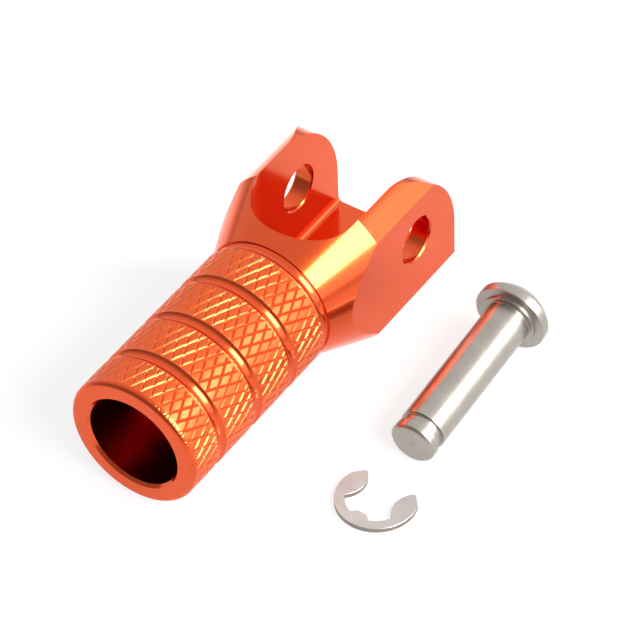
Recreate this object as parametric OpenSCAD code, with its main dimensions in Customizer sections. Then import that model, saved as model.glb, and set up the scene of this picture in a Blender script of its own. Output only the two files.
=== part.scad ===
// Folding toe peg for a motorcycle gear lever, with its pivot pin and E-clip.
// Three separate pieces lying on a level surface: the peg and, beside it, the loose pin and clip.
// Frame: origin at the middle of the pivot bore, X along the bore, the barrel runs to -Y, Z up.

/* [Barrel] */
// Outside diameter over the knurl
barrel_d = 24; // [20:0.5:27]
// Distance from the pivot bore to the open end of the barrel
barrel_reach = 62; // [56:1:80]
// Height of the pivot bore above the barrel axis
pivot_rise = 1.75; // [0:0.25:3]
// Bore of the open end
end_bore_d = 16.9; // [10:0.1:18]
// Depth of the end bore to the start of its drill point
end_bore_depth = 32; // [10:1:34]
// Chamfer at the mouth of the end bore
mouth_chamfer = 0.5; // [0.2:0.1:1]
// Rounding of the barrel's outer end edge
end_round_r = 1; // [0.4:0.1:2]

/* [Grip grooves] */
// Number of grooves between the knurled bands
groove_count = 3; // [1:1:3]
// Distance from one groove to the next
groove_pitch = 10; // [8:0.5:11]
// Distance from the open end to the middle of the first groove
first_groove = 8; // [6:0.2:10]
// Width of a round-bottomed groove at the surface
groove_w = 2.2; // [1.6:0.1:3]
// Depth of a groove
groove_depth = 0.6; // [0.45:0.05:0.8]

/* [Fork] */
// Diameter of the turned fork blank
fork_d = 34; // [32:0.5:38]
// Width across the flats on the ears
ear_span = 27.2; // [25:0.1:29]
// Width of the slot between the ears
slot_w = 20; // [14:0.5:21]
// Distance from the pivot bore to the free end of the ears
ear_reach = 11.6; // [9:0.1:14]
// Distance from the pivot bore to the centre of the slot's round end
slot_back = 10.5; // [8:0.5:12]
// Depth of the slot floor below the barrel axis
slot_floor = 10; // [8:0.25:10.5]
// Corner rounding along the slot floor
floor_round_r = 1; // [0.5:0.1:2]
// Distance from the pivot bore back to the top of the cone
cone_top = 11.7; // [9:0.1:14]
// Length of the cone between barrel and fork
cone_len = 11.6; // [9:0.1:14]
// Rounding radius of the ears' upper end
ear_round_r = 17; // [12:0.5:20]
// Drop of that rounding's lower end below the barrel axis
ear_round_drop = 3; // [0:0.25:6]

/* [Pivot] */
// Diameter of the pivot bore through both ears
pivot_bore_d = 8.4; // [8.2:0.05:9]
// Chamfer on both sides of each bore wall
pivot_chamfer = 0.25; // [0.1:0.05:0.5]

/* [Pin] */
// Diameter of the pin's shank
pin_d = 8; // [7.6:0.05:8]
// Length from the tip to the underside of the head
pin_len = 30.8; // [29:0.1:34]
// Diameter of the head
head_d = 13; // [11:0.25:16]
// Height of the head's straight rim
head_rim_h = 1.6; // [0.8:0.1:2.5]
// Height of the dome above the rim
dome_h = 3.4; // [1.5:0.1:4]
// Diameter of the small collar under the head
collar_d = 9.8; // [9:0.1:11]
// Thickness of that collar
collar_h = 0.5; // [0.3:0.1:1]
// Diameter at the bottom of the clip groove
clip_groove_d = 7; // [6.8:0.05:7.4]
// Distance from the tip to the clip groove
clip_groove_start = 1.9; // [1.2:0.1:3]
// Width of the clip groove
clip_groove_w = 1.6; // [1:0.1:2]
// Chamfer at the tip
tip_chamfer = 0.4; // [0.2:0.1:0.6]

/* [Clip] */
// Outside diameter of the clip
clip_d = 13.7; // [13:0.1:15]
// Thickness of the clip
clip_t = 0.9; // [0.6:0.05:1]
// Diameter of the relief between the prongs and the middle lobe
clip_relief_d = 10.2; // [9.4:0.1:11]
// Narrowest gap between the two prongs
clip_gap = 6.3; // [5.8:0.1:6.8]
// Radius of each prong's bulging inner edge
prong_bulge_r = 4.2; // [3.8:0.1:4.6]
// Distance of the narrowest gap ahead of the clip's centre
prong_bulge_y = 0.8; // [0.2:0.1:1.4]
// Rounding radius of a prong's tip
prong_tip_r = 0.5; // [0.35:0.05:0.65]
// Angle from the clip's cross line up to a prong's tip, seen from the centre of its bulge
prong_tip_angle = 46; // [42:1:50]
// Angle of a prong's straight outer edge to the clip's cross line
prong_slope = 47; // [42:1:52]
// Distance from the clip's centre to the flat of the middle lobe
lobe_reach = 3.95; // [3.7:0.05:4.1]
// Width of the middle lobe's flat
lobe_w = 1.7; // [1.2:0.1:2.4]
// Width of the middle lobe at its root
lobe_root_w = 4.4; // [3.4:0.1:5]

/* [Layout] */
// Sideways distance from the pivot bore's middle to the pin's tip
pin_x = 33.1; // [28:0.1:45]
// Distance of the pin's tip from the pivot bore
pin_y = -31.1; // [-36:0.1:-20]
// Turn of the pin about the vertical, seen from above
pin_turn = 1.2; // [-10:0.1:10]
// Sideways distance from the pivot bore's middle to the clip's centre
clip_x = 33.2; // [28:0.1:45]
// Distance of the clip's centre from the pivot bore
clip_y = -42.2; // [-60:0.1:-41]
// Turn of the clip about the vertical, seen from above
clip_turn = -2; // [-30:0.5:30]

/* [Hidden] */
$fn = 96;
eps = 0.01;
over = 1;
point_angle = 59;
// Step down from the knurl to the foot of the cone, and to the neck under it.
cone_step = 0.15;
neck_step = 0.4;
barrel_r = barrel_d / 2;
fork_r = fork_d / 2;
axis_z = -pivot_rise;
ground_z = axis_z - barrel_r;
end_y = -barrel_reach;
cone_top_y = -cone_top;
cone_base_y = cone_top_y - cone_len;
cone_base_r = barrel_r - cone_step;
neck_r = barrel_r - neck_step;
neck_y = cone_base_y - groove_w / 2;
groove_arc_r = (groove_w * groove_w / 4 + groove_depth * groove_depth) / (2 * groove_depth);
groove_arc_x = barrel_r - groove_depth + groove_arc_r;
slot_r = slot_w / 2;
flat_depth = fork_r;
end_bore_r = end_bore_d / 2;
drill_point = end_bore_r / tan(point_angle);
pin_r = pin_d / 2;
head_r = head_d / 2;
dome_r = (head_r * head_r + dome_h * dome_h) / (2 * dome_h);
centre_mark_r = 0.5;
centre_mark_depth = 0.25;
// The head's rim and the tip's edge both touch the ground, so the pin lies a little nose down.
pin_tilt = atan2(head_r - pin_r, pin_len - tip_chamfer);
relief_r = clip_relief_d / 2;
bulge_x = clip_gap / 2 + prong_bulge_r;
// The tip's centre sits this share of its radius inside the bulge, so that the two outlines cross.
tip_share = 0.9;
tip_inset = tip_share * prong_tip_r;
groove_y = [for (i = [0 : groove_count - 1]) end_y + first_groove + i * groove_pitch];

peg_body();
pivot_pin();
e_clip();

// Half profile of the turned blank: radius against distance along the barrel axis.
module blank_profile() {
  polygon([
    [0, end_y],
    [barrel_r - end_round_r, end_y],
    [barrel_r - end_round_r, end_y + end_round_r],
    [barrel_r, end_y + end_round_r],
    [barrel_r, neck_y],
    [neck_r, neck_y],
    [neck_r, cone_base_y],
    [cone_base_r, cone_base_y],
    [fork_r, cone_top_y],
    [fork_r, ear_reach],
    [0, ear_reach]
  ]);
  translate([barrel_r - end_round_r, end_y + end_round_r])
    circle(r = end_round_r);
}

// Round-bottomed grooves between the knurled bands and at the foot of the cone.
module groove_profile() {
  for (y = concat(groove_y, neck_y))
    translate([groove_arc_x, y])
      circle(r = groove_arc_r);
}

// Blind bore from the open end, with its mouth chamfer and drill point.
module end_bore_profile() {
  bottom = end_y + end_bore_depth;
  polygon([
    [0, end_y - over],
    [end_bore_r + mouth_chamfer + over, end_y - over],
    [end_bore_r, end_y + mouth_chamfer],
    [end_bore_r, bottom],
    [0, bottom + drill_point]
  ]);
}

module turned_blank() {
  translate([0, 0, axis_z])
    rotate([-90, 0, 0])
      rotate_extrude()
        difference() {
          blank_profile();
          groove_profile();
          end_bore_profile();
        }
}

// Flat cut on the outside of each ear.
module ear_flats() {
  length = cone_len + cone_top + ear_reach + over;
  for (side = [-1, 1])
    translate([side * (ear_span + flat_depth) / 2, ear_reach + over - length / 2, axis_z])
      cube([flat_depth, length, 3 * fork_r], center = true);
}

// Outline of the slot at one inset, seen from above: straight sides and a full round end.
module slot_outline(inset) {
  width = slot_w - 2 * inset;
  translate([0, -slot_back])
    circle(r = width / 2);
  translate([-width / 2, -slot_back])
    square([width, slot_back + ear_reach + over]);
}

// Slot milled down from above with a round-ended, corner-rounded cutter.
module slot_cut() {
  floor_z = axis_z - slot_floor;
  corner_z = floor_z + floor_round_r;
  inner_r = slot_r - floor_round_r;
  run = slot_back + ear_reach + over;
  translate([0, 0, corner_z])
    linear_extrude(2 * fork_r)
      slot_outline(0);
  translate([0, 0, floor_z])
    linear_extrude(floor_round_r + eps)
      slot_outline(floor_round_r);
  translate([0, -slot_back, corner_z])
    rotate_extrude()
      translate([inner_r, 0])
        circle(r = floor_round_r);
  for (side = [-1, 1])
    translate([side * inner_r, -slot_back, corner_z])
      rotate([-90, 0, 0])
        cylinder(r = floor_round_r, h = run);
}

// Side outline of the peg: rounded upper end, square lower corner, level underside.
module peg_side_outline() {
  arc_y = ear_reach - ear_round_r;
  arc_z = axis_z - ear_round_drop;
  translate([end_y - over, axis_z - fork_r])
    square([neck_y - end_y + over, 2 * fork_r]);
  translate([neck_y - eps, ground_z])
    square([arc_y - neck_y + eps, 2 * fork_r]);
  translate([arc_y, arc_z])
    intersection() {
      circle(r = ear_round_r);
      square(2 * ear_round_r);
    }
  translate([arc_y - eps, ground_z])
    square([ear_reach - arc_y + eps, arc_z - ground_z]);
}

// Bore through both ears with a small chamfer on every edge.
module pivot_bore() {
  r = pivot_bore_d / 2;
  rotate([0, 90, 0])
    cylinder(r = r, h = ear_span + 2 * over, center = true);
  for (side = [-1, 1], face = [slot_r, ear_span / 2])
    translate([side * face, 0, 0])
      rotate([0, 90, 0])
        rotate_extrude()
          polygon([
            [0, -pivot_chamfer],
            [r, -pivot_chamfer],
            [r + pivot_chamfer, 0],
            [r, pivot_chamfer],
            [0, pivot_chamfer]
          ]);
}

// The peg: grip barrel, cone and forked end machined from one bar.
module peg_body() {
  color([0.93, 0.33, 0.12])
    difference() {
      intersection() {
        turned_blank();
        translate([-fork_r - over, 0, 0])
          rotate([90, 0, 90])
            linear_extrude(2 * (fork_r + over))
              peg_side_outline();
      }
      ear_flats();
      slot_cut();
      pivot_bore();
    }
}

// Half profile of the pin, tip at zero and head at the far end.
module pin_profile() {
  groove_end = clip_groove_start + clip_groove_w;
  collar_y = pin_len - collar_h;
  polygon([
    [0, centre_mark_depth],
    [centre_mark_r, 0],
    [pin_r - tip_chamfer, 0],
    [pin_r, tip_chamfer],
    [pin_r, clip_groove_start],
    [clip_groove_d / 2, clip_groove_start],
    [clip_groove_d / 2, groove_end],
    [pin_r, groove_end],
    [pin_r, collar_y],
    [collar_d / 2, collar_y],
    [collar_d / 2, pin_len],
    [head_r, pin_len],
    [head_r, pin_len + head_rim_h],
    [0, pin_len + head_rim_h]
  ]);
  translate([0, pin_len + head_rim_h])
    intersection() {
      translate([0, dome_h - dome_r])
        circle(r = dome_r);
      translate([0, -eps])
        square([head_r, dome_h + over]);
    }
}

// The pivot pin lying on its side.
module pivot_pin() {
  color([0.72, 0.69, 0.65])
    translate([pin_x, pin_y, ground_z])
      rotate([0, 0, pin_turn])
        rotate([pin_tilt, 0, 0])
          translate([0, -tip_chamfer, pin_r])
            rotate([-90, 0, 0])
              rotate_extrude()
                pin_profile();
}

function polar(r, a) = [r * cos(a), r * sin(a)];

// The open inside of the clip: relief and mouth, less the bulging prongs and the middle lobe.
module clip_opening() {
  difference() {
    union() {
      circle(r = relief_r);
      translate([-clip_d, prong_bulge_y])
        square([2 * clip_d, clip_d]);
    }
    for (side = [-1, 1])
      translate([side * bulge_x, prong_bulge_y])
        circle(r = prong_bulge_r);
    polygon([
      [-lobe_root_w / 2, -clip_d / 2],
      [lobe_root_w / 2, -clip_d / 2],
      [lobe_root_w / 2, -relief_r],
      [lobe_w / 2, -lobe_reach],
      [-lobe_w / 2, -lobe_reach],
      [-lobe_root_w / 2, -relief_r]
    ]);
  }
}

function mirrored(side, points) = [for (p = points) [side * p[0], p[1]]];

// Waste outside one prong's straight outer edge and round tip.
module prong_waste(side) {
  tip = [bulge_x, prong_bulge_y] + polar(prong_bulge_r - tip_inset, 180 - prong_tip_angle);
  out = polar(clip_d, 90 - prong_slope);
  run = polar(clip_d, -prong_slope);
  start = tip + polar(tip_inset, 90 - prong_slope) - run / 2;
  back = tip + polar(clip_d, 180 - prong_tip_angle);
  above = tip + [0, 2 * clip_d];
  polygon(mirrored(side, [start, start + 2 * run, start + 2 * run + out, start + out]));
  difference() {
    polygon(mirrored(side, [tip, tip + out, above, back]));
    translate([side * tip[0], tip[1]])
      circle(r = prong_tip_r);
  }
}

// Flat outline of the clip, its mouth toward +Y.
module clip_outline() {
  difference() {
    circle(r = clip_d / 2);
    clip_opening();
    for (side = [-1, 1])
      prong_waste(side);
  }
}

// The E-clip lying flat.
module e_clip() {
  color([0.78, 0.74, 0.7])
    translate([clip_x, clip_y, ground_z])
      rotate([0, 0, clip_turn])
        linear_extrude(clip_t)
          clip_outline();
}
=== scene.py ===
"""Folding toe peg for a gear lever, with its loose pin and E-clip, on a white studio floor."""

import math

import bmesh
import bpy
import numpy as np
from mathutils import Matrix, Vector


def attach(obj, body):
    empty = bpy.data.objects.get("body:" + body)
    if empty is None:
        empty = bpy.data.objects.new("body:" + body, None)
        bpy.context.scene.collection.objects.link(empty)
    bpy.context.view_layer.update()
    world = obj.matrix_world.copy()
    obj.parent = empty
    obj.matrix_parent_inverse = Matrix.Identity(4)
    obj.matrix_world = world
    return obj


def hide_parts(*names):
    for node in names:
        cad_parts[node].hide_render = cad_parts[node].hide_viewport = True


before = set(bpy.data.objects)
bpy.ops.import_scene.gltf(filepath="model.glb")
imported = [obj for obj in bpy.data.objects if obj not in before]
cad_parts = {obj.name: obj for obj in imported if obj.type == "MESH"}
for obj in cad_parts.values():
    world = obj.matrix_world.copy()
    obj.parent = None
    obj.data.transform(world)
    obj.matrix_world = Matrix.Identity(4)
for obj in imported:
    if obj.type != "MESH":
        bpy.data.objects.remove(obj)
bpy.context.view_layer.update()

# ---------------------------------------------------------------- the peg, in millimetres
# The frame's origin is the middle of the pivot bore; the barrel runs to -Y and Z is up.
MM = 0.001
AXIS_Z = -1.75  # barrel axis, below the pivot bore
BARREL_R = 12.0
END_Y = -62.0
END_ROUND = 1.0
BORE_R = 8.45
BORE_DEPTH = 32.0
MOUTH_CHAMFER = 0.5
POINT_ANGLE = math.radians(59)
POINT_R = 0.2  # last ring of points before the drill point
GROOVE_Y = (-54.0, -44.0, -34.0)
GROOVE_W = 2.2
GROOVE_DEPTH = 0.6
NECK_Y = -24.4
NECK_R = 11.6
CONE_Y = -23.3
CONE_R = 11.85
CONE_TOP_Y = -11.7
FORK_R = 17.0
EAR_Y = 11.6
EAR_X = 13.6
EAR_ROUND_R = 17.0
EAR_ROUND_Z = -4.75
SLOT_X = 10.0
SLOT_BACK = -10.5
SLOT_RUN_OUT = 30.0
SLOT_FLOOR = -11.75
FLOOR_ROUND = 1.0
PIVOT_R = 4.2
PIVOT_CHAMFER = 0.25
GROUND_Z = AXIS_Z - BARREL_R
EDGE_BREAK = 0.13
EDGE_BREAK_ANGLE = 50
EDGE_BREAK_STEPS = 2
FAR = 40.0  # outside every face, for the cutting tools

# ---------------------------------------------------------------- the knurl
KNURL_STARTS = 40
KNURL_STEPS = 12  # points from one groove of the knurl to the next
KNURL_PERIOD = 4.04  # along the axis
KNURL_DEPTH = 0.2
KNURL_SHOULDER = 0.07  # depth one step away from the bottom
KNURL_RUNOUT = 0.5
COLUMNS = KNURL_STARTS * KNURL_STEPS
FORK_COLUMNS = COLUMNS // 2

# Rings of points along the barrel
END_ROUND_STEPS = 10
END_ROUND_STEP_ANGLE = 10
GROOVE_POINTS = 15
NECK_DOWN_POINTS = 9
NECK_UP_POINTS = 6
NECK_UP_START = 0.17
NECK_UP_SHORT = 0.43
FOOT_SETBACK = 0.02
GROOVE_MARGIN = 0.12
CLOSEST_ROWS = 0.015

# Resolution of the other curves
EAR_ROUND_STEPS = 48
PIVOT_COLUMNS = 96
SLOT_END_STEPS = 72
FLOOR_ROUND_ANGLE = 15

# ---------------------------------------------------------------- the pin, tip at zero
PIN_R = 4.0
PIN_LEN = 30.8
HEAD_R = 6.5
RIM_H = 1.6
DOME_H = 3.4
DOME_INSET = 0.05
DOME_LIFT = 0.06
DOME_START = 1.2  # degrees above the rim's shoulder
DOME_STEPS = 36
COLLAR_R = 4.9
COLLAR_H = 0.5
CLIP_GROOVE_R = 3.5
CLIP_GROOVE_START = 1.9
CLIP_GROOVE_END = 3.5
TIP_CHAMFER = 0.4
MARK_R = 0.5
MARK_DEPTH = 0.25
CORNER_STEPS = 8
STRAIGHT = math.radians(179)  # a turn closer to straight than this isn't rounded
SHANK_FIRST = 4.4
SHANK_LAST = PIN_LEN - 1.2
SHANK_STEP = 0.9
PIN_COLUMNS = 192
PIN_AT = (33.1, -31.1)
PIN_TURN = math.radians(1.2)
PIN_TILT = math.atan2(HEAD_R - PIN_R, PIN_LEN - TIP_CHAMFER)
PIN_PLACE = (
    Matrix.Translation(MM * Vector((*PIN_AT, GROUND_Z)))
    @ Matrix.Rotation(PIN_TURN, 4, "Z")
    @ Matrix.Rotation(PIN_TILT, 4, "X")
    @ Matrix.Translation(MM * Vector((0, -TIP_CHAMFER, PIN_R)))
)

# ---------------------------------------------------------------- the clip, mouth toward +Y
CLIP_R = 6.85
CLIP_T = 0.9
RELIEF_R = 5.1
BULGE_R = 4.2
BULGE_AT = (3.15 + BULGE_R, 0.8)
TIP_R = 0.45
TIP_ANGLE = 46.0
PRONG_SLOPE = 47.0
LOBE_REACH = 3.95
LOBE_HALF = 0.85
LOBE_ROOT_HALF = 2.2
OUTER_STEPS = 54
TIP_STEPS = 12
BULGE_STEPS = 40
RELIEF_STEPS = 16
CLIP_EDGE_BREAK = 0.07
CLIP_BREAK_ANGLE = 40
CLIP_BREAK_STEPS = 3
SIDE_NORMAL_Z = 0.3  # the sheared sides' normals rise less than this
CLIP_AT = (33.2, -42.2)
CLIP_TURN = math.radians(-2)
CLIP_PLACE = (
    Matrix.Translation(MM * Vector((*CLIP_AT, GROUND_Z))) @ Matrix.Rotation(CLIP_TURN, 4, "Z")
)

# ---------------------------------------------------------------- mesh tolerances
SMOOTH_ANGLE = math.radians(18)
FLAT_ANGLE = math.radians(0.5)
WELD = 0.02
SEAM_WELD = 0.01
ON_PLANE = 1e-6  # metres
ON_AXIS = 1e-9  # millimetres
FULL_WEIGHT = 100


# ---------------------------------------------------------------- mesh helpers
def new_object(name, verts, faces):
    """A mesh object from points in millimetres."""
    mesh = bpy.data.meshes.new(name)
    mesh.from_pydata([tuple(MM * c for c in v) for v in verts], [], faces)
    mesh.validate()
    mesh.update()
    obj = bpy.data.objects.new(name, mesh)
    bpy.context.scene.collection.objects.link(obj)
    shade(obj)
    return obj


def shade(obj):
    """Smooth shading, sharp at every real edge."""
    for p in obj.data.polygons:
        p.use_smooth = True
    obj.data.set_sharp_from_angle(angle=SMOOTH_ANGLE)


def weight_normals(obj):
    """Keeps flat faces flat beside their rounded edges."""
    mod = obj.modifiers.new("flat faces stay flat", "WEIGHTED_NORMAL")
    mod.keep_sharp = True
    mod.weight = FULL_WEIGHT


def revolve(profile, columns):
    """Points and faces of (radius, height) pairs turned about the Y axis, closed at both ends."""
    verts, faces, rings = [], [], []
    angles = [2 * math.pi * k / columns for k in range(columns)]
    for r, y in profile:
        if r < ON_AXIS:
            rings.append([len(verts)])
            verts.append((0, y, 0))
        else:
            rings.append(list(range(len(verts), len(verts) + columns)))
            verts += [(r * math.sin(a), y, r * math.cos(a)) for a in angles]
    for a, b in zip(rings, rings[1:]):
        for k in range(columns):
            n = (k + 1) % columns
            quad = [a[k % len(a)], a[n % len(a)], b[n % len(b)], b[k % len(b)]]
            faces.append(list(dict.fromkeys(quad)))
    if len(rings[0]) > 1:
        faces.append(rings[0][::-1])
    if len(rings[-1]) > 1:
        faces.append(rings[-1])
    return verts, faces


def arc(cx, cy, r, start, end, steps):
    """Points on an arc, angles in degrees."""
    out = []
    for i in range(steps + 1):
        a = math.radians(start + (end - start) * i / steps)
        out.append((cx + r * math.cos(a), cy + r * math.sin(a)))
    return out


def prism(outline, lo, hi, place):
    """A closed prism of an outline; place(u, v, w) gives the point."""
    n = len(outline)
    verts = [place(u, v, lo) for u, v in outline] + [place(u, v, hi) for u, v in outline]
    faces = [list(range(n))[::-1], list(range(n, 2 * n))]
    faces += [[i, (i + 1) % n, n + (i + 1) % n, n + i] for i in range(n)]
    return verts, faces


def outward(obj):
    """Turns every face's normal outward."""
    bm = bmesh.new()
    bm.from_mesh(obj.data)
    bmesh.ops.recalc_face_normals(bm, faces=bm.faces)
    bm.to_mesh(obj.data)
    bm.free()


def carve(obj, cutter, operation):
    """Applies one exact boolean and removes the cutter."""
    outward(cutter)
    mod = obj.modifiers.new("cut", "BOOLEAN")
    mod.operation = operation
    mod.solver = "EXACT"
    mod.object = cutter
    graph = bpy.context.evaluated_depsgraph_get()
    mesh = bpy.data.meshes.new_from_object(obj.evaluated_get(graph))
    obj.modifiers.clear()
    obj.data = mesh
    bpy.data.objects.remove(cutter)


def break_edges(obj, width, angle, segments, keep=lambda edge: True):
    """Small rounded breaks on the sharp edges that keep() accepts, as deburring leaves."""
    bm = bmesh.new()
    bm.from_mesh(obj.data)
    bmesh.ops.remove_doubles(bm, verts=bm.verts, dist=WELD * MM)
    bmesh.ops.dissolve_limit(bm, angle_limit=FLAT_ANGLE, verts=bm.verts, edges=bm.edges)
    edges = [
        e
        for e in bm.edges
        if len(e.link_faces) == 2 and e.calc_face_angle(0) > math.radians(angle) and keep(e)
    ]
    bmesh.ops.bevel(
        bm,
        geom=edges,
        offset=width * MM,
        segments=segments,
        profile=0.5,
        affect="EDGES",
        clamp_overlap=True,
    )
    bm.to_mesh(obj.data)
    bm.free()


# ---------------------------------------------------------------- the knurled barrel
def groove_depth_at(y):
    """How deep the round-bottomed grooves are at y."""
    rho = (GROOVE_W**2 / 4 + GROOVE_DEPTH**2) / (2 * GROOVE_DEPTH)
    best = 0.0
    for c in GROOVE_Y + (NECK_Y,):
        u = abs(y - c)
        if u < GROOVE_W / 2:
            best = max(best, math.sqrt(rho**2 - u**2) - (rho - GROOVE_DEPTH))
    return best


def turned_radius(y):
    """Radius of the barrel before knurling."""
    r = BARREL_R - groove_depth_at(y)
    if y < END_Y + END_ROUND:
        d = END_Y + END_ROUND - y
        r = BARREL_R - END_ROUND + math.sqrt(max(END_ROUND**2 - d**2, 0))
    if y > NECK_Y:
        r = min(r, NECK_R)
    return r


def band_edge_distance(y):
    """How far y is from the nearest end of a knurled band."""
    edges = [c + side * GROOVE_W / 2 for c in GROOVE_Y for side in (-1, 1)]
    return min(abs(y - e) for e in edges + [NECK_Y - GROOVE_W / 2, END_Y + END_ROUND])


def barrel_rows():
    """Distances along the barrel where the surface has a ring of points."""
    half = GROOVE_W / 2
    turns = [math.radians(END_ROUND_STEP_ANGLE * k) for k in range(END_ROUND_STEPS)]
    rows = [END_Y + END_ROUND * (1 - math.cos(t)) for t in turns]
    step = KNURL_PERIOD / KNURL_STEPS
    first = math.ceil((END_Y + END_ROUND) / step)
    last = math.floor(CONE_Y / step)
    lattice = [k * step for k in range(first, last + 1)]
    edges = [(c - half, c + half) for c in GROOVE_Y] + [(NECK_Y - half, CONE_Y)]
    m = GROOVE_MARGIN
    rows += [y for y in lattice if not any(a - m < y < b + m for a, b in edges)]
    for c in GROOVE_Y:
        across = np.sin(np.linspace(-1, 1, GROOVE_POINTS) * math.pi / 2)
        rows += [c + half * t for t in across]
    down = -half * np.cos(np.linspace(0, 1, NECK_DOWN_POINTS) * math.pi / 2)
    rows += [NECK_Y + t for t in down]
    up = half - NECK_UP_SHORT
    rows += [NECK_Y + up * t for t in np.linspace(NECK_UP_START, 1, NECK_UP_POINTS)]
    rows += [CONE_Y - FOOT_SETBACK]
    rows = sorted(set(round(y, 5) for y in rows))
    return [y for k, y in enumerate(rows) if k == 0 or y - rows[k - 1] > CLOSEST_ROWS]


def knurl_grid():
    """The knurled outside of the barrel as a grid of points and its triangles."""
    ys = np.array(barrel_rows())
    theta = np.arange(COLUMNS) * 2 * math.pi / COLUMNS
    u = theta[None, :] * KNURL_STARTS / (2 * math.pi) + ys[:, None] / KNURL_PERIOD
    v = theta[None, :] * KNURL_STARTS / (2 * math.pi) - ys[:, None] / KNURL_PERIOD
    du, dv = np.abs(u - np.round(u)), np.abs(v - np.round(v))
    near = np.minimum(du, dv) * KNURL_STEPS
    cut = np.interp(near, (0, 1, 2), (KNURL_DEPTH, KNURL_SHOULDER, 0))
    cut *= np.clip([band_edge_distance(y) / KNURL_RUNOUT for y in ys], 0, 1)[:, None]
    turned = np.array([turned_radius(y) for y in ys])[:, None]
    r = np.minimum(turned, BARREL_R - cut)
    x = r * np.sin(theta)
    z = r * np.cos(theta)
    y = np.repeat(ys[:, None], COLUMNS, axis=1)
    verts = np.stack([x, y, z], axis=2).reshape(-1, 3).tolist()
    faces = []
    near_u = (du < dv).astype(int)
    for j in range(len(ys) - 1):
        for k in range(COLUMNS):
            n = (k + 1) % COLUMNS
            a, b = j * COLUMNS + k, j * COLUMNS + n
            c, d = a + COLUMNS, b + COLUMNS
            along_u = near_u[j, k] + near_u[j + 1, n] + near_u[j, n] + near_u[j + 1, k]
            if along_u >= 2:  # u is constant from b to c
                faces += [[a, b, c], [b, d, c]]
            else:
                faces += [[a, b, d], [a, d, c]]
    return verts, faces, len(ys)


def barrel_shell():
    """The barrel with its blind bore, open at the cone's foot."""
    verts, faces, rows = knurl_grid()
    last = (rows - 1) * COLUMNS
    bottom = END_Y + BORE_DEPTH
    inner = [
        (BORE_R + MOUTH_CHAMFER, END_Y),
        (BORE_R, END_Y + MOUTH_CHAMFER),
        (BORE_R, END_Y + BORE_DEPTH / 2),
        (BORE_R, bottom),
        (BORE_R / 2, bottom + BORE_R / 2 / math.tan(POINT_ANGLE)),
        (POINT_R, bottom + (BORE_R - POINT_R) / math.tan(POINT_ANGLE)),
    ]
    theta = [2 * math.pi * k / COLUMNS for k in range(COLUMNS)]
    previous = list(range(COLUMNS))
    for r, y in inner:
        start = len(verts)
        verts += [(r * math.sin(t), y, r * math.cos(t)) for t in theta]
        new = list(range(start, start + COLUMNS))
        for k in range(COLUMNS):
            n = (k + 1) % COLUMNS
            faces.append([previous[n], previous[k], new[k], new[n]])
        previous = new
    tip = len(verts)
    verts.append((0, bottom + BORE_R / math.tan(POINT_ANGLE), 0))
    faces += [[previous[(k + 1) % COLUMNS], previous[k], tip] for k in range(COLUMNS)]
    start = len(verts)
    for k, t in enumerate(theta):  # the cone's foot lies on the fork's own polygon
        r = CONE_R
        if k % 2:
            r *= math.cos(math.pi / FORK_COLUMNS)
        verts.append((r * math.sin(t), CONE_Y, r * math.cos(t)))
    for k in range(COLUMNS):
        n = (k + 1) % COLUMNS
        faces.append([last + k, last + n, start + n, start + k])
    return new_object("peg_barrel", [(x, y, z + AXIS_Z) for x, y, z in verts], faces)


# ---------------------------------------------------------------- the forked end
def slot_cutter():
    """Round-ended cutter path with a rounded floor corner."""
    rings = []
    for a in range(0, 91, FLOOR_ROUND_ANGLE):
        t = math.radians(a)
        inset = FLOOR_ROUND * (1 - math.sin(t))
        rings.append((inset, SLOT_FLOOR + FLOOR_ROUND * (1 - math.cos(t))))
    rings.append((0, FAR))
    verts, n = [], 0
    for inset, z in rings:
        r = SLOT_X - inset
        ring = arc(0, SLOT_BACK, r, 180, 360, SLOT_END_STEPS)
        ring += [(r, SLOT_RUN_OUT), (-r, SLOT_RUN_OUT)]
        n = len(ring)
        verts += [(x, y, z) for x, y in ring]
    faces = [list(range(n))[::-1], list(range(len(verts) - n, len(verts)))]
    for j in range(len(rings) - 1):
        for k in range(n):
            m = (k + 1) % n
            faces.append([j * n + k, j * n + m, (j + 1) * n + m, (j + 1) * n + k])
    return verts, faces


def bore_cutter():
    """Cutter for both ears' bores, flared at each of their faces."""
    c, r = PIVOT_CHAMFER, PIVOT_R
    half = [(r + c, SLOT_X), (r, SLOT_X + c), (r, EAR_X - c), (r + 2 * c, EAR_X + c)]
    profile = [(q, -x) for q, x in reversed(half)] + half
    verts, faces = revolve(profile, PIVOT_COLUMNS)
    return [(y, x, z) for x, y, z in verts], faces


def fork_solid():
    """Cone and forked end, closed at the cone's foot, by milling a turned blank."""
    profile = [(CONE_R, CONE_Y), (FORK_R, CONE_TOP_Y), (FORK_R, EAR_Y)]
    verts, faces = revolve(profile, FORK_COLUMNS)
    verts = [(x, y, z + AXIS_Z) for x, y, z in verts]
    fork = new_object("peg_fork", verts, faces)
    outward(fork)
    for side in (-1, 1):
        outline = [(EAR_X, -FAR), (FAR, -FAR), (FAR, FAR), (EAR_X, FAR)]
        box = prism(outline, -FAR, FAR, lambda u, v, w, s=side: (s * u, v, w))
        carve(fork, new_object("flat", *box), "DIFFERENCE")
    arc_y = EAR_Y - EAR_ROUND_R
    outline = [(-FAR, GROUND_Z), (EAR_Y, GROUND_Z)]
    outline += arc(arc_y, EAR_ROUND_Z, EAR_ROUND_R, 0, 90, EAR_ROUND_STEPS)
    outline += [(arc_y, FAR), (-FAR, FAR)]
    body = prism(outline, -FAR, FAR, lambda u, v, w: (w, u, v))
    carve(fork, new_object("side", *body), "INTERSECT")
    carve(fork, new_object("slot", *slot_cutter()), "DIFFERENCE")
    carve(fork, new_object("bore", *bore_cutter()), "DIFFERENCE")
    return fork


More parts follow.
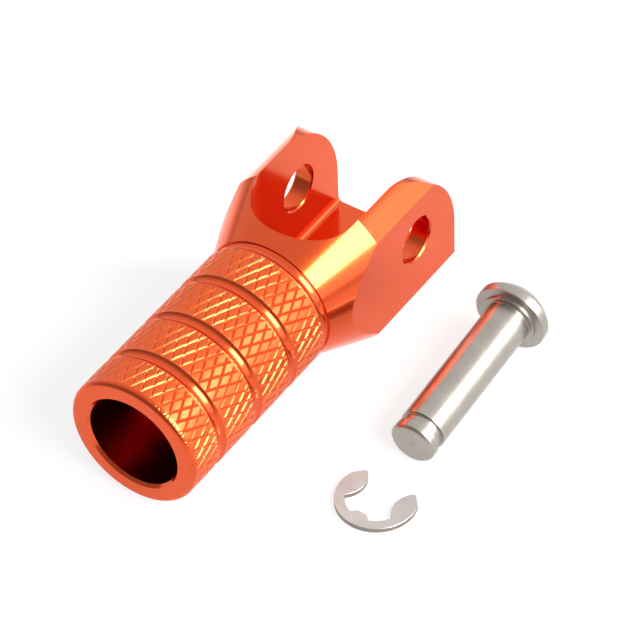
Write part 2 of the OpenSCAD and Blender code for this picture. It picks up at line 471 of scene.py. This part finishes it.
def join_peg(barrel, fork):
    """Welds the knurled barrel to the fork at the cone's foot."""
    bm = bmesh.new()
    bm.from_mesh(fork.data)
    foot = MM * CONE_Y
    cap = [f for f in bm.faces if all(abs(v.co.y - foot) < ON_PLANE for v in f.verts)]
    bmesh.ops.delete(bm, geom=cap, context="FACES")
    rim = [e for e in bm.edges if len(e.link_faces) == 1]
    bmesh.ops.subdivide_edges(bm, edges=rim, cuts=1)
    bm.from_mesh(barrel.data)
    near = [v for v in bm.verts if abs(v.co.y - foot) < ON_PLANE]
    bmesh.ops.remove_doubles(bm, verts=near, dist=SEAM_WELD * MM)
    bmesh.ops.recalc_face_normals(bm, faces=bm.faces)
    mesh = bpy.data.meshes.new("peg_knurled")
    bm.to_mesh(mesh)
    bm.free()
    for o in (barrel, fork):
        bpy.data.objects.remove(o)
    peg = bpy.data.objects.new("peg_knurled", mesh)
    bpy.context.scene.collection.objects.link(peg)
    shade(peg)
    weight_normals(peg)
    return peg


def build_peg():
    """The whole peg as one closed surface."""
    fork = fork_solid()
    foot = MM * (CONE_Y + SEAM_WELD)

    def past_foot(edge):
        return any(v.co.y > foot for v in edge.verts)

    break_edges(fork, EDGE_BREAK, EDGE_BREAK_ANGLE, EDGE_BREAK_STEPS, past_foot)
    return join_peg(barrel_shell(), fork)


# ---------------------------------------------------------------- the pin
def rounded(profile, radii):
    """A (radius, height) profile whose corners are rounded; radii holds one value per corner."""
    out = [profile[0]]
    for before, corner, after, r in zip(profile, profile[1:], profile[2:], radii):
        a = (Vector(before) - Vector(corner)).normalized()
        b = (Vector(after) - Vector(corner)).normalized()
        turn = a.angle(b)
        if r <= 0 or turn > STRAIGHT:
            out.append(corner)
            continue
        reach = r / math.tan(turn / 2)
        middle = Vector(corner) + (a + b).normalized() * (r / math.sin(turn / 2))
        first, last = Vector(corner) + a * reach, Vector(corner) + b * reach
        for k in range(CORNER_STEPS + 1):
            t = (first - middle).lerp(last - middle, k / CORNER_STEPS)
            out.append(tuple(middle + t.normalized() * r))
    out.append(profile[-1])
    return out


def build_pin():
    """The turned pin about its own Y axis, from the tip to the top of the dome."""
    shoulder = PIN_LEN + RIM_H
    corners = [  # radius, height, rounding
        (0, MARK_DEPTH, 0),
        (MARK_R, 0, 0.08),
        (PIN_R - TIP_CHAMFER, 0, 0.12),
        (PIN_R, TIP_CHAMFER, 0.15),
        (PIN_R, CLIP_GROOVE_START, 0.08),
        (CLIP_GROOVE_R, CLIP_GROOVE_START, 0.12),
        (CLIP_GROOVE_R, CLIP_GROOVE_END, 0.12),
        (PIN_R, CLIP_GROOVE_END, 0.08),
        (PIN_R, PIN_LEN - COLLAR_H, 0.1),
        (COLLAR_R, PIN_LEN - COLLAR_H, 0.12),
        (COLLAR_R, PIN_LEN, 0.08),
        (HEAD_R, PIN_LEN, 0.18),
        (HEAD_R, shoulder, 0.12),
        (HEAD_R - DOME_INSET, shoulder + DOME_LIFT, 0),
    ]
    profile = rounded([c[:2] for c in corners], [c[2] for c in corners[1:-1]])
    dome_r = (HEAD_R**2 + DOME_H**2) / (2 * DOME_H)
    middle = shoulder + DOME_H - dome_r
    low = math.degrees(math.asin((dome_r - DOME_H) / dome_r))
    profile += arc(0, middle, dome_r, low + DOME_START, 90, DOME_STEPS)
    profile[-1] = (0, shoulder + DOME_H)
    shank = np.arange(SHANK_FIRST, SHANK_LAST, SHANK_STEP)
    at = next(k for k, (r, y) in enumerate(profile) if y > SHANK_FIRST)
    profile[at:at] = [(PIN_R, float(y)) for y in shank]
    verts, faces = revolve(profile, PIN_COLUMNS)
    pin = new_object("pin_turned", verts, faces)
    outward(pin)
    weight_normals(pin)
    pin.data.transform(PIN_PLACE)
    return pin


# ---------------------------------------------------------------- the clip
def direction(angle):
    return (math.cos(math.radians(angle)), math.sin(math.radians(angle)))


def clip_half():
    """Right half of the clip's outline, from the middle of its back round to the lobe's middle."""
    bulge = Vector(BULGE_AT)
    tip = bulge + (BULGE_R - TIP_R) * Vector(direction(180 - TIP_ANGLE))
    shoulder = tip + TIP_R * Vector(direction(90 - PRONG_SLOPE))
    run = Vector(direction(-PRONG_SLOPE))
    down = shoulder.dot(run)
    corner = shoulder + (-down + math.sqrt(down**2 - shoulder.length**2 + CLIP_R**2)) * run
    start = math.degrees(math.atan2(corner.y, corner.x))
    apart = bulge.length
    a = (apart**2 + RELIEF_R**2 - BULGE_R**2) / (2 * apart)
    across = Vector((-bulge.y, bulge.x)).normalized()
    heel = a * bulge.normalized() - math.sqrt(RELIEF_R**2 - a**2) * across
    slope = Vector((LOBE_ROOT_HALF - LOBE_HALF, LOBE_REACH - RELIEF_R)).normalized()
    edge = Vector((LOBE_HALF, -LOBE_REACH))
    down = edge.dot(slope)
    root = edge + (-down + math.sqrt(down**2 - edge.length**2 + RELIEF_R**2)) * slope
    out = arc(0, 0, CLIP_R, -90, start, OUTER_STEPS)
    out += arc(*tip, TIP_R, 90 - PRONG_SLOPE, 180 - TIP_ANGLE, TIP_STEPS)
    to_heel = heel - bulge
    last = math.degrees(math.atan2(to_heel.y, to_heel.x)) % 360
    out += arc(*bulge, BULGE_R, 180 - TIP_ANGLE, last, BULGE_STEPS)[1:]
    first = math.degrees(math.atan2(heel.y, heel.x))
    last = math.degrees(math.atan2(root.y, root.x))
    out += arc(0, 0, RELIEF_R, first, last, RELIEF_STEPS)[1:]
    return out + [tuple(edge)]


def build_clip():
    """The stamped clip, its mouth toward its own +Y."""
    half = clip_half()
    outline = half + [(-x, y) for x, y in reversed(half[1:])]
    clip = new_object("clip_stamped", *prism(outline, 0, CLIP_T, lambda u, v, w: (u, v, w)))
    outward(clip)
    break_edges(clip, CLIP_EDGE_BREAK, CLIP_BREAK_ANGLE, CLIP_BREAK_STEPS)
    shade(clip)
    weight_normals(clip)
    clip.data.transform(CLIP_PLACE)
    return clip


# ---------------------------------------------------------------- material helpers
BUMP_HEIGHT = 0.02  # millimetres
NOISE_LOW, NOISE_HIGH = 0.3, 0.7  # nearly all of a noise lies between these
PLAIN_DETAIL = 2.0
FINE_DETAIL = 3.0
RING_DETAIL = 1.0

# Anodised aluminium; texture scales are in features to the metre
ANODISED_SCALES = {"cloud": 160.0, "grain": 5200.0, "marks": 9000.0, "rings": 7000.0}
ANODISED_STREAK = 0.02  # scale left across the axis, so that turning marks run round it
ANODISED_MARKS = 0.05  # strength of the turning marks
COAT_WEIGHT = 0.55
COAT_IOR = 1.5
EDGE_TINT = (1.0, 0.6, 0.5)

# Steel
STEEL_SCALES = {"cloud": 220.0, "speck": 1300.0, "grain": 4000.0, "marks": 5000.0, "rings": 4500.0}
STEEL_STREAK = 0.03
STEEL_SHADE = 0.88  # the darker of its two tones
SPECK_SHADE = (0.82, 0.80, 0.78)
SPECK_STRENGTH = (0.0, 0.6)
SPECK_NOISE = (0.62, 0.72)


def tree(name):
    """A material with one Principled shader."""
    mat = bpy.data.materials.new(name)
    mat.use_nodes = True
    nt = mat.node_tree
    nt.nodes.clear()
    out = nt.nodes.new("ShaderNodeOutputMaterial")
    bsdf = nt.nodes.new("ShaderNodeBsdfPrincipled")
    nt.links.new(bsdf.outputs[0], out.inputs[0])
    return mat, nt, bsdf


def node(nt, kind, **values):
    """A node whose keywords are properties or, with spaces for underscores, inputs."""
    n = nt.nodes.new(kind)
    for key, value in values.items():
        if hasattr(n, key):
            setattr(n, key, value)
        else:
            n.inputs[key.replace("_", " ")].default_value = value
    return n


def scaled(nt, vector, x, y, z):
    """The vector with each axis scaled."""
    n = node(nt, "ShaderNodeMapping", vector_type="POINT", Scale=(x, y, z))
    nt.links.new(vector, n.inputs["Vector"])
    return n.outputs["Vector"]


def noise(nt, vector, scale, detail=PLAIN_DETAIL):
    n = node(nt, "ShaderNodeTexNoise", Scale=scale, Detail=detail)
    nt.links.new(vector, n.inputs["Vector"])
    return n.outputs["Fac"]


def turning_rings(nt, vector, axis_z, scale):
    """Concentric marks about an axis along Y, as turning leaves on a face."""
    flat = node(
        nt, "ShaderNodeMapping", vector_type="POINT", Location=(0, 0, -axis_z), Scale=(1, 0, 1)
    )
    nt.links.new(vector, flat.inputs["Vector"])
    radius = node(nt, "ShaderNodeVectorMath", operation="LENGTH")
    nt.links.new(flat.outputs["Vector"], radius.inputs[0])
    n = node(nt, "ShaderNodeTexNoise", noise_dimensions="1D", Scale=scale, Detail=RING_DETAIL)
    nt.links.new(radius.outputs["Value"], n.inputs["W"])
    return n.outputs["Fac"]


def remap(nt, value, lo, hi, start=NOISE_LOW, end=NOISE_HIGH):
    """The value taken from start..end to lo..hi and held there."""
    n = node(nt, "ShaderNodeMapRange", From_Min=start, From_Max=end, To_Min=lo, To_Max=hi)
    nt.links.new(value, n.inputs["Value"])
    return n.outputs["Result"]


def blend_colours(nt, factor, a, b):
    n = node(nt, "ShaderNodeMix", data_type="RGBA")
    n.inputs["A"].default_value = (*a, 1)
    n.inputs["B"].default_value = (*b, 1)
    nt.links.new(factor, n.inputs["Factor"])
    return n.outputs["Result"]


def bump(nt, height, strength, normal=None):
    n = node(nt, "ShaderNodeBump", Strength=strength, Distance=BUMP_HEIGHT * MM)
    nt.links.new(height, n.inputs["Height"])
    if normal is not None:
        nt.links.new(normal, n.inputs["Normal"])
    return n.outputs["Normal"]


# ---------------------------------------------------------------- materials
def anodised(name, dark, light, rough, coat_rough, grain_strength):
    """Satin dyed anodising over machined aluminium."""
    mat, nt, bsdf = tree(name)
    link = nt.links.new
    coords = node(nt, "ShaderNodeTexCoord").outputs["Object"]
    cloud = noise(nt, coords, ANODISED_SCALES["cloud"], FINE_DETAIL)
    grain = noise(nt, coords, ANODISED_SCALES["grain"])
    stretched = scaled(nt, coords, ANODISED_STREAK, 1.0, ANODISED_STREAK)
    marks = noise(nt, stretched, ANODISED_SCALES["marks"])
    link(blend_colours(nt, cloud, dark, light), bsdf.inputs["Base Color"])
    link(remap(nt, grain, *rough), bsdf.inputs["Roughness"])
    fine = bump(nt, marks, ANODISED_MARKS)
    rings = turning_rings(nt, coords, MM * AXIS_Z, ANODISED_SCALES["rings"])
    fine = bump(nt, rings, ANODISED_MARKS, fine)
    link(bump(nt, grain, grain_strength, fine), bsdf.inputs["Normal"])
    bsdf.inputs["Metallic"].default_value = 1.0
    bsdf.inputs["Specular Tint"].default_value = (*EDGE_TINT, 1)
    bsdf.inputs["Coat Weight"].default_value = COAT_WEIGHT
    bsdf.inputs["Coat Roughness"].default_value = coat_rough
    bsdf.inputs["Coat IOR"].default_value = COAT_IOR
    return mat


def steel(name, rough, colour, strength, lathe=None):
    """Bare steel with a fine grain; lathe places the marks of turning about its Y axis."""
    mat, nt, bsdf = tree(name)
    link = nt.links.new
    coords = node(nt, "ShaderNodeTexCoord").outputs["Object"]
    grain = noise(nt, coords, STEEL_SCALES["grain"], FINE_DETAIL)
    cloud = noise(nt, coords, STEEL_SCALES["cloud"])
    speck = noise(nt, coords, STEEL_SCALES["speck"], FINE_DETAIL)
    dark = tuple(STEEL_SHADE * c for c in colour)
    tint = blend_colours(nt, remap(nt, cloud, 0.0, 1.0), dark, colour)
    worn = node(nt, "ShaderNodeMix", data_type="RGBA", blend_type="MULTIPLY")
    worn.inputs["B"].default_value = (*SPECK_SHADE, 1)
    link(remap(nt, speck, *SPECK_STRENGTH, *SPECK_NOISE), worn.inputs["Factor"])
    link(tint, worn.inputs["A"])
    link(worn.outputs["Result"], bsdf.inputs["Base Color"])
    link(remap(nt, grain, *rough), bsdf.inputs["Roughness"])
    normal = bump(nt, grain, strength / 2)
    if lathe is not None:
        local = node(
            nt,
            "ShaderNodeMapping",
            vector_type="TEXTURE",
            Location=lathe.translation,
            Rotation=lathe.to_euler(),
        )
        link(coords, local.inputs["Vector"])
        coords = local.outputs["Vector"]
        stretched = scaled(nt, coords, STEEL_STREAK, 1.0, STEEL_STREAK)
        normal = bump(nt, noise(nt, stretched, STEEL_SCALES["marks"]), strength, normal)
        rings = turning_rings(nt, coords, 0.0, STEEL_SCALES["rings"])
        normal = bump(nt, rings, strength, normal)
    link(normal, bsdf.inputs["Normal"])
    bsdf.inputs["Metallic"].default_value = 1.0
    return mat


def finish_peg(peg, plain, rough):
    """The knurled bands have a duller finish than the turned and milled faces."""
    peg.data.materials.append(plain)
    peg.data.materials.append(rough)
    for face in peg.data.polygons:
        x, y, z = (c / MM for c in face.center)
        knurled = math.hypot(x, z - AXIS_Z) > BARREL_R - 2 * KNURL_DEPTH
        in_band = END_Y + END_ROUND < y < NECK_Y - GROOVE_W / 2
        if in_band and knurled and groove_depth_at(y) == 0:
            face.material_index = 1


def finish_clip(clip, stamped, sheared):
    """The clip's cut sides are coarser than its flat faces."""
    clip.data.materials.append(stamped)
    clip.data.materials.append(sheared)
    for face in clip.data.polygons:
        if abs(face.normal.z) < SIDE_NORMAL_Z:
            face.material_index = 1


orange = anodised(
    "orange anodised aluminium",
    dark=(0.70, 0.072, 0.008),
    light=(0.74, 0.084, 0.010),
    rough=(0.14, 0.21),
    coat_rough=0.12,
    grain_strength=0.06,
)
knurled = anodised(
    "knurled anodised aluminium",
    dark=(0.66, 0.085, 0.009),
    light=(0.74, 0.105, 0.012),
    rough=(0.30, 0.42),
    coat_rough=0.3,
    grain_strength=0.15,
)
turned_steel = steel(
    "turned stainless steel",
    rough=(0.27, 0.36),
    colour=(0.405, 0.372, 0.332),
    strength=0.14,
    lathe=PIN_PLACE,
)
stamped_steel = steel(
    "tumbled spring steel", rough=(0.28, 0.38), colour=(0.62, 0.58, 0.55), strength=0.3
)
sheared_steel = steel(
    "sheared spring steel", rough=(0.40, 0.55), colour=(0.30, 0.265, 0.24), strength=0.6
)

# ---------------------------------------------------------------- the three pieces
peg = build_peg()
finish_peg(peg, orange, knurled)
pin = build_pin()
pin.data.materials.append(turned_steel)
clip = build_clip()
finish_clip(clip, stamped_steel, sheared_steel)
for obj, body, node_name, slot in (
    (peg, "peg", "peg_body", "anodised_aluminium"),
    (pin, "pin", "pivot_pin", "turned_stainless"),
    (clip, "clip", "e_clip", "spring_steel"),
):
    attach(obj, body)
    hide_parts(node_name)

# ---------------------------------------------------------------- studio floor, in metres
FLOOR_HALF = 3.0
PAINTED_POOL_FADE = (0.10, 0.30)  # distances from the origin over which the painted pool of light round the object fades
# emission near and far: painted light, the paper glows more near the object
PAINTED_POOL_GLOW = (0.78, 0.35)
# albedo near and far: painted light, the paper is paler near the object
PAINTED_POOL_PAPER = (0.17, 0.12)
PAINTED_SPILL = 0.8  # painted light: a patch of the paper behind the peg glows brighter
PAINTED_SPILL_AT = (-0.052, 0.036, MM * GROUND_Z)
PAINTED_SPILL_FADE = (0.012, 0.060)
PAPER_ROUGHNESS = 0.9
PAPER_SPECULAR = 0.1


def white_paper():
    """Paper that glows a little, with painted light: it glows and reflects more near the object,
    and glows more in a patch behind the peg.
    """
    mat, nt, bsdf = tree("white paper")
    link = nt.links.new
    coords = node(nt, "ShaderNodeTexCoord").outputs["Object"]
    away = node(nt, "ShaderNodeVectorMath", operation="LENGTH")
    link(coords, away.inputs[0])
    # distance to the painted patch of light behind the peg
    spot = node(nt, "ShaderNodeVectorMath", operation="DISTANCE")
    link(coords, spot.inputs[0])
    spot.inputs[1].default_value = PAINTED_SPILL_AT
    glow = node(nt, "ShaderNodeMath", operation="ADD")
    # painted light: the glow rises near the object
    link(remap(nt, away.outputs["Value"], *PAINTED_POOL_GLOW, *PAINTED_POOL_FADE), glow.inputs[0])
    # painted light: the glow rises again in the patch behind the peg
    link(remap(nt, spot.outputs["Value"], PAINTED_SPILL, 0.0, *PAINTED_SPILL_FADE), glow.inputs[1])
    link(glow.outputs[0], bsdf.inputs["Emission Strength"])
    # painted light: the paper is paler near the object and darkens outward
    near, far = ((level,) * 3 for level in PAINTED_POOL_PAPER)
    fade = remap(nt, away.outputs["Value"], 0.0, 1.0, *PAINTED_POOL_FADE)
    link(blend_colours(nt, fade, near, far), bsdf.inputs["Base Color"])
    bsdf.inputs["Roughness"].default_value = PAPER_ROUGHNESS
    bsdf.inputs["Emission Color"].default_value = (1, 1, 1, 1)
    bsdf.inputs["Specular IOR Level"].default_value = PAPER_SPECULAR
    return mat


def build_floor():
    """A square of paper on the ground plane."""
    mesh = bpy.data.meshes.new("floor")
    s, z = FLOOR_HALF, MM * GROUND_Z
    mesh.from_pydata([(-s, -s, z), (s, -s, z), (s, s, z), (-s, s, z)], [], [[0, 1, 2, 3]])
    floor = bpy.data.objects.new("floor", mesh)
    bpy.context.scene.collection.objects.link(floor)
    floor.data.materials.append(white_paper())
    return floor


build_floor()

# ---------------------------------------------------------------- studio light
TENT_BRIGHT_SIDE = (0.1, 0.95, 0.25)
TENT_LEVELS = ((0.0, 0.28), (0.25, 0.36), (0.47, 0.66), (0.55, 0.85), (0.9, 1.0))
TENT_STRENGTH = 1.1
LIGHT_TARGET = Vector((0.01, -0.025, 0.0))
SOFTBOXES = (  # name, azimuth and elevation in degrees, distance, width, height, radiance
    ("window", 0, 36, 0.6, 0.62, 0.30, 16.0),
    ("second window", 39, 17.5, 0.6, 0.22, 0.36, 1.6),
    ("window skirt", 0, 13, 0.62, 0.60, 0.20, 1.1),
)


def build_tent():
    """Surroundings that are brighter on one side, as in a light tent."""
    world = bpy.data.worlds.new("tent")
    bpy.context.scene.world = world
    world.use_nodes = True
    nt = world.node_tree
    nt.nodes.clear()
    link = nt.links.new
    out = node(nt, "ShaderNodeOutputWorld")
    back = node(nt, "ShaderNodeBackground", Strength=TENT_STRENGTH)
    link(back.outputs[0], out.inputs[0])
    coords = node(nt, "ShaderNodeTexCoord")
    dot = node(nt, "ShaderNodeVectorMath", operation="DOT_PRODUCT")
    dot.inputs[1].default_value = Vector(TENT_BRIGHT_SIDE).normalized()
    link(coords.outputs["Generated"], dot.inputs[0])
    ramp = node(nt, "ShaderNodeValToRGB")
    ramp.color_ramp.interpolation = "EASE"
    for k, (at, level) in enumerate(TENT_LEVELS):
        e = ramp.color_ramp.elements[k] if k < 2 else ramp.color_ramp.elements.new(at)
        e.position = at
        e.color = (level, level, level, 1)
    link(remap(nt, dot.outputs["Value"], 0.0, 1.0, -1.0, 1.0), ramp.inputs["Fac"])
    link(ramp.outputs["Color"], back.inputs["Color"])


def softbox(name, azimuth, elevation, distance, width, height, radiance):
    """An area light of a given brightness, facing the object."""
    data = bpy.data.lights.new(name, "AREA")
    data.shape = "RECTANGLE"
    data.size, data.size_y = width, height
    data.energy = radiance * math.pi * width * height
    obj = bpy.data.objects.new(name, data)
    az, el = math.radians(azimuth), math.radians(elevation)
    d = Vector((math.cos(el) * math.cos(az), math.cos(el) * math.sin(az), math.sin(el)))
    obj.location = LIGHT_TARGET + d * distance
    obj.rotation_euler = d.to_track_quat("Z", "Y").to_euler()
    bpy.context.scene.collection.objects.link(obj)


build_tent()
for box in SOFTBOXES:
    softbox(*box)

# ---------------------------------------------------------------- camera
LENS = 223.62
SENSOR_WIDTH = 36.0
CAMERA_AT = (0.277294, -0.399457, 0.452279)
CAMERA_ANGLES = (45.4878, 1.4774, 33.9509)

cam_data = bpy.data.cameras.new("camera")
cam_data.sensor_width = SENSOR_WIDTH
cam_data.lens = LENS
cam = bpy.data.objects.new("camera", cam_data)
cam.location = CAMERA_AT
cam.rotation_euler = tuple(math.radians(a) for a in CAMERA_ANGLES)
bpy.context.scene.collection.objects.link(cam)
bpy.context.scene.camera = cam
bpy.context.scene.view_settings.view_transform = "Standard"
